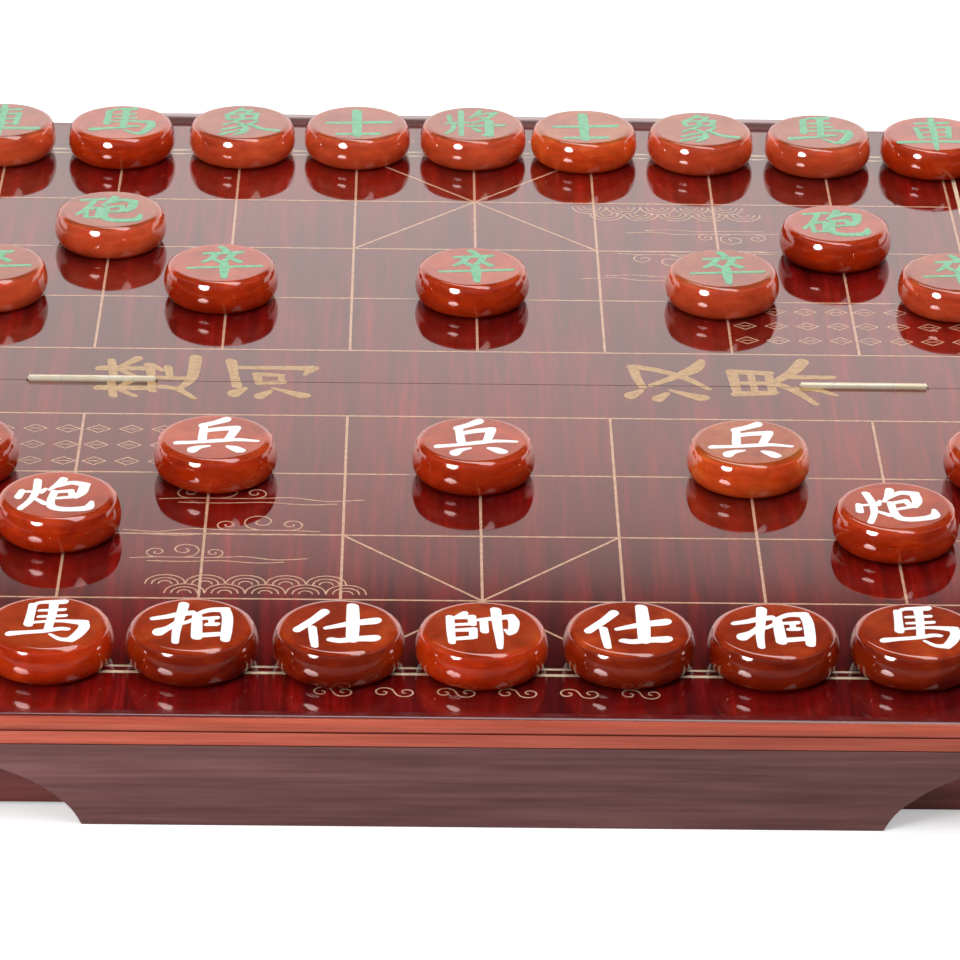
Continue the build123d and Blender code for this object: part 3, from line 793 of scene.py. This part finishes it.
# %% River words
RIVER_WORDS = {                            # the middle and size in mm, and the strokes
    "chu": ((-133.0, 2.5), 44.0, [
        [(10, 18, 6), (44, 14, 6)], [(28, 4, 8), (28, 46, 7)], [(27, 20, 5), (10, 38, 4)],
        [(30, 22, 4), (43, 32, 6)], [(52, 16, 6), (90, 12, 6)], [(72, 3, 8), (72, 46, 7)],
        [(71, 18, 5), (54, 36, 4)], [(74, 20, 4), (94, 36, 8)],
        [(22, 53, 6), (60, 50, 6), (80, 48, 8), (68, 60, 4)], [(52, 52, 6), (50, 84, 6)],
        [(52, 68, 5), (76, 65, 6)], [(32, 60, 6), (26, 76, 6), (6, 92, 4)],
        [(27, 78, 5), (52, 88, 8), (98, 90, 9)]]),
    "he": ((-84.0, 2.0), 40.0, [
        [(16, 14, 12), (28, 24, 5)], [(10, 40, 10), (22, 50, 5)], [(12, 84, 10), (22, 66, 6), (30, 52, 3)],
        [(34, 16, 8), (62, 12, 7), (96, 8, 9)], [(80, 14, 6), (80, 56, 7), (80, 92, 9), (64, 84, 4)],
        [(42, 38, 7), (44, 62, 7)], [(42, 38, 6), (64, 35, 7), (61, 60, 6)], [(44, 60, 5), (61, 60, 5)]]),
    "han": ((76.0, 4.5), 42.0, [
        [(16, 16, 11), (27, 26, 5)], [(9, 42, 10), (21, 51, 5)], [(12, 84, 11), (22, 66, 6), (30, 54, 3)],
        [(36, 28, 6), (58, 23, 7), (84, 20, 8), (76, 44, 7), (58, 70, 7), (32, 92, 4)],
        [(40, 36, 5), (60, 60, 8), (80, 80, 11), (99, 88, 6)]]),
    "jie": ((123.5, 4.0), 45.0, [
        [(25, 8, 8), (28, 42, 7)], [(25, 9, 6), (74, 6, 8), (71, 40, 7)], [(28, 25, 5), (72, 23, 5)],
        [(49, 8, 5), (49, 40, 6)], [(28, 41, 6), (71, 39, 6)], [(49, 42, 7), (34, 60, 7), (4, 78, 4)],
        [(51, 43, 6), (72, 60, 9), (97, 72, 10)], [(38, 62, 7), (36, 80, 6), (24, 97, 4)],
        [(63, 60, 7), (63, 97, 6)]]),
}
print("river words:", len(RIVER_WORDS))

# %% [markdown]
# The cut leaves an open side, which is filled again, so each part is a closed solid of its own.

# %% Cutting the words at the seam
SIDEWAYS = math.radians(90)
BOLD = 1.35                                # a broader brush than the one for the men


def half_word(strokes, size, middle, way):
    """The part of a word that lies on one half."""
    def build(bm):
        bold = [[(x, y, width * BOLD) for x, y, width in points] for points in strokes]
        word(bm, bold, size, middle, SIDEWAYS, top=LOWEST)
        bmesh.ops.bisect_plane(bm, geom=bm.verts[:] + bm.edges[:] + bm.faces[:], dist=1e-4,
                               plane_co=(0, way * SEAM_EDGE, 0), plane_no=(0, -way, 0),
                               clear_outer=True)
        rims = [edge for edge in bm.edges if edge.is_boundary]
        bmesh.ops.holes_fill(bm, edges=rims, sides=0)
    return build


for name, (middle, size, strokes) in RIVER_WORDS.items():
    for half, way in HALVES.items():
        build = half_word(strokes, size, middle, way)
        piece(f"river_word_{name}_{half}", build, gold_leaf, f"{half}_half")
print("parts of words:", len(RIVER_WORDS) * len(HALVES))

# %% [markdown]
# ## Ornament
#
# Fine gold drawing fills the wing on each player's left: curled clouds over rows of round waves.
# Small lozenges stand in the cells by the river, and a short row of curls lies in the margin before
# the palace. Each drawing is made once for the near half, and turned round for the far half.

# %% Curls, clouds and waves
CURL_STEPS = 12
WOUND_IN = 0.85                            # how much of its radius a curl loses on its way in
WAVE_ARCS = (1.0, 0.66, 0.33)              # the three arcs of a wave, as shares of its radius


def curl(x, y, radius, turns, start, hand):
    """A spiral from its outer end inwards; start is an angle in degrees, hand is 1 or -1."""
    points = []
    for step in range(CURL_STEPS + 1):
        angle = math.radians(start + hand * 360 * turns * step / CURL_STEPS)
        reach = radius * (1 - WOUND_IN * step / CURL_STEPS)
        points.append((x + reach * math.cos(angle), y + reach * math.sin(angle)))
    return points


def cloud(x, y, size, hand):
    """Three curls that stand on a long flowing tail."""
    lines = [curl(0, 6, 8, 1.4, -90, 1), curl(14, 3, 5, 1.3, -90, 1), curl(-13, 3.5, 5.5, 1.3, -90, -1),
             [(-25, -3), (-13, -2), (0, -2), (14, -2), (29, -1), (43, -4), (58, -2.5)],
             [(-17, -6), (0, -6.5), (18, -5.5), (34, -7.5), (47, -6.5)]]
    return [[(x + hand * size * px, y + size * py) for px, py in line] for line in lines]


def waves(x, y, columns, rows, radius):
    """Rows of round waves, each of three half circles drawn in steps of 30 degrees."""
    lines = []
    for row in range(rows):
        for column in range(columns):
            middle, foot = x + (2 * column + row % 2) * radius, y - row * radius
            for reach in (radius * share for share in WAVE_ARCS):
                lines.append([(middle + reach * math.cos(math.radians(turn)),
                               foot + reach * math.sin(math.radians(turn)))
                              for turn in range(0, 181, 30)])
    return lines


def lozenge(x, y, wide, high):
    """A diamond with a short line across its middle."""
    ring = [(x - wide, y), (x, y + high), (x + wide, y), (x, y - high)]
    sides = [[a, b] for a, b in zip(ring, ring[1:] + ring[:1])]
    inside = wide * 0.45
    return sides + [[(x - inside, y), (x + inside, y)]]


print("lines in a cloud:", len(cloud(0, 0, 1, 1)))

# %% [markdown]
# The drawing is laid out for the near half, in millimetres from the middle of the seam. A stroke
# lies on one of a few close levels, so that two lines that cross don't share a plane.

# %% Ornament
FINE = 0.62                                # mm, the width of a drawn line
LEVELS, LEVEL_STEP = 6, 0.002              # how many levels, and the mm between them
LOZENGE_FILES = (-202, -189, -176, -163, -151, -138, -125, -112)
LOZENGE_ROWS = (-47, -62, -77)
CURL_PAIRS = (-55, -33, -11, 11, 33, 55)
MARGIN = -269                              # the line that the curls before the palace stand on

drawing = cloud(-100, -108, size=0.95, hand=1) + cloud(-84, -136, size=0.9, hand=-1)
drawing += cloud(-112, -160, size=0.8, hand=1)
drawing += waves(-118, -184, columns=5, rows=2, radius=7.5)
for x in LOZENGE_FILES:
    for y in LOZENGE_ROWS:
        drawing += lozenge(x, y, wide=4.6, high=3.6)
for x in CURL_PAIRS:
    drawing += [curl(x - 3, MARGIN, 4, 1.2, 0, 1), curl(x + 5, MARGIN, 4, 1.2, 180, 1)]
print("drawn lines:", len(drawing))


def ornament(way):
    """The whole drawing, turned round for the far half."""
    def build(bm):
        for count, line in enumerate(drawing):
            placed = [(-way * x, -way * y, FINE) for x, y in line]
            stroke(bm, placed, HIGH + LEVEL_STEP * (count % LEVELS))
    return build


for half, way in HALVES.items():
    piece(f"{half}_ornament", ornament(way), gold, f"{half}_half")

# %% [markdown]
# ## Floor
#
# The case stands on a plain white floor. The floor is lifted to white for the camera only, so that it
# keeps the shadow of the case. In reflections it is dark, so that the sides of the men and the
# mouldings keep their deep reds.

# %% Floor
FLOOR_SIZE = 12.0                          # metres
FLOOR_LIFT = 0.40                          # how much paler the camera sees the paper than it is lit
PAPER, PAPER_MIRRORED = (0.93, 0.93, 0.93), (0.12, 0.11, 0.11)


def square(size, place=Matrix()):
    """A flat square that reaches size metres each way, moved to its place."""
    bm = bmesh.new()
    bmesh.ops.create_grid(bm, x_segments=1, y_segments=1, size=size)
    bm.transform(place)
    return bm


paper = Finish("floor_paper")
rays = paper.node("ShaderNodeLightPath").outputs
paper.set(Base_Color=paper.mix(rays["Is Glossy Ray"], PAPER, PAPER_MIRRORED),
          Roughness=0.9, Emission_Color=WHITE,
          Emission_Strength=paper.math("MULTIPLY", rays["Is Camera Ray"], FLOOR_LIFT))
put_in_scene(square(FLOOR_SIZE), "floor", paper)
print("floor lift:", FLOOR_LIFT)

# %% [markdown]
# ## Room
#
# The lacquer and the stones take their looks from what they mirror, so the world has three answers
# to the question what is out there. The camera sees plain white. Diffuse light comes evenly from all
# sides. A reflection that looks back towards the camera's side finds a dark room with a long pale
# blind high up. One that looks the other way finds almost nothing, and the white wall, which has a
# cell of its own below.

# %% Parts of the room
world = bpy.data.worlds.new("room")
bpy.context.scene.world = world
world.use_nodes = True
world.node_tree.nodes.clear()


def room(kind, inputs=(), **settings):
    """A node of the world."""
    return add_node(world.node_tree, kind, inputs, **settings)


def light_from(colour, strength):
    """A background of that colour and strength."""
    return room("ShaderNodeBackground", {"Color": colour, "Strength": strength}).outputs[0]


def either(share, first, second):
    """The first light at share 0, the second at 1."""
    return room("ShaderNodeMixShader", {0: share, 1: first, 2: second}).outputs[0]


def levels(ramp, stops):
    """Set a ramp's stops, each a place, a brightness and a tint."""
    while len(ramp.elements) < len(stops):
        ramp.elements.new(0.5)
    for element, (at, level, tint) in zip(ramp.elements, stops):
        element.position, element.color = at, (*(level * share for share in tint), 1)


print("world:", world.name)

# %% [markdown]
# The blind is a ramp over how high a reflection looks. The two sides melt into each other, and two
# switches on the kind of ray choose between the three answers.

# %% Room
AROUND = 0.32                              # the room's even light
AHEAD = 0.02                               # how bright the far side looks in a reflection
TURNS_OVER = 0.4                           # how far round to the far side the near side fades out
CREAM, PALE, ROSY = (1.0, 0.985, 0.96), (1.11, 0.975, 0.945), (1.20, 0.92, 0.86)
# how bright the near side looks in a reflection, by the sine of the height it is seen at
NEAR_WALL = ((0.0, 0.02, CREAM), (0.30, 0.02, CREAM), (0.44, 0.16, CREAM), (0.66, 0.16, CREAM),
             (0.80, 0.02, CREAM), (1.0, 0.02, CREAM))

out_there = room("ShaderNodeTexCoord").outputs["Generated"]
direction = room("ShaderNodeSeparateXYZ", {"Vector": out_there}).outputs
blind = room("ShaderNodeValToRGB", {"Fac": direction["Z"]})
levels(blind.color_ramp, NEAR_WALL)
away = room("ShaderNodeMapRange", {"Value": direction["Y"], "From Min": 0.0, "From Max": TURNS_OVER},
            interpolation_type="SMOOTHSTEP")
world_rays = room("ShaderNodeLightPath").outputs
mirrored = either(away.outputs["Result"], light_from(blind.outputs["Color"], 1.0), light_from(WHITE, AHEAD))
lit = either(world_rays["Is Glossy Ray"], light_from(WHITE, AROUND), mirrored)
shown = either(world_rays["Is Camera Ray"], lit, light_from(WHITE, 1.0))
room("ShaderNodeOutputWorld", {"Surface": shown})
print("world nodes:", len(world.node_tree.nodes))

# %% [markdown]
# ## White wall
#
# A white board stands a little way behind the case, and only reflections see it. The polished board
# mirrors it, which gives the pale sheen at the far end. It is bright near the floor and fades with
# height, and the near end of the board mirrors its dark top, which gives the depth there.

# %% White wall
WALL_BEHIND, WALL_HIGH, WALL_WIDE = 0.75, 0.75, 8.0      # metres behind the middle, and its size
WALL = ((0.0, 0.94, PALE), (0.367, 0.94, PALE), (0.488, 0.84, PALE), (0.556, 0.77, ROSY),
        (0.622, 0.60, ROSY), (0.664, 0.43, ROSY), (0.698, 0.10, ROSY), (0.737, 0.015, ROSY),
        (1.0, 0.0, ROSY))                  # share of its height, brightness and tint

glow = Finish("white_wall")
height = glow.node("ShaderNodeSeparateXYZ", {0: glow.place}).outputs["Z"]
fade = glow.node("ShaderNodeValToRGB", {"Fac": glow.math("DIVIDE", height, WALL_HIGH)})
levels(fade.color_ramp, WALL)
glow.set(Base_Color=BLACK, Roughness=1.0, Emission_Color=fade.outputs["Color"],
         Emission_Strength=1.0, Specular_IOR_Level=0.0)
upright = (Matrix.Translation((0, WALL_BEHIND, WALL_HIGH / 2)) @ Matrix.Rotation(math.radians(90), 4, "X")
           @ Matrix.Diagonal((WALL_WIDE, WALL_HIGH, 1.0, 1.0)))
white_wall = put_in_scene(square(0.5, upright), "white_wall", glow)
for kind in ("camera", "diffuse", "transmission", "volume_scatter", "shadow"):
    setattr(white_wall, f"visible_{kind}", False)
print("wall:", WALL_WIDE, "x", WALL_HIGH, "m")

# %% [markdown]
# ## Lamps
#
# A small key lamp at the front left makes the two highlights on each man. A long narrow strip
# overhead makes the pale crescent on the rim of its top. Two large soft lamps overhead light the
# board. They aren't mirrored, or they would lie on every man as broad pale bands.

# %% Lamps
def lamp(name, place, size, power, mirrored=True):
    """A soft oval lamp, in metres and watts, that looks at the middle of the board."""
    light = bpy.data.lights.new(name, "AREA")
    light.shape, light.size, light.size_y, light.energy = "ELLIPSE", *size, power
    made = bpy.data.objects.new(name, light)
    made.location = place
    made.rotation_euler = (-Vector(place)).to_track_quat("-Z", "Y").to_euler()
    made.visible_glossy = mirrored
    bpy.context.scene.collection.objects.link(made)


lamp("key_softbox", (-0.80, -0.95, 0.53), (0.48, 0.38), 6.2)
lamp("strip_softbox", (0.30, 0.15, 1.75), (3.4, 0.44), 8)
lamp("top_softbox", (0.35, -0.30, 1.75), (2.8, 1.2), 17, mirrored=False)
lamp("rear_softbox", (0.10, 0.95, 1.60), (2.2, 0.9), 11, mirrored=False)
print("lamps:", len(bpy.data.lights))

# %% [markdown]
# ## Sizes
#
# The dressed part should fill the same box as the solids.
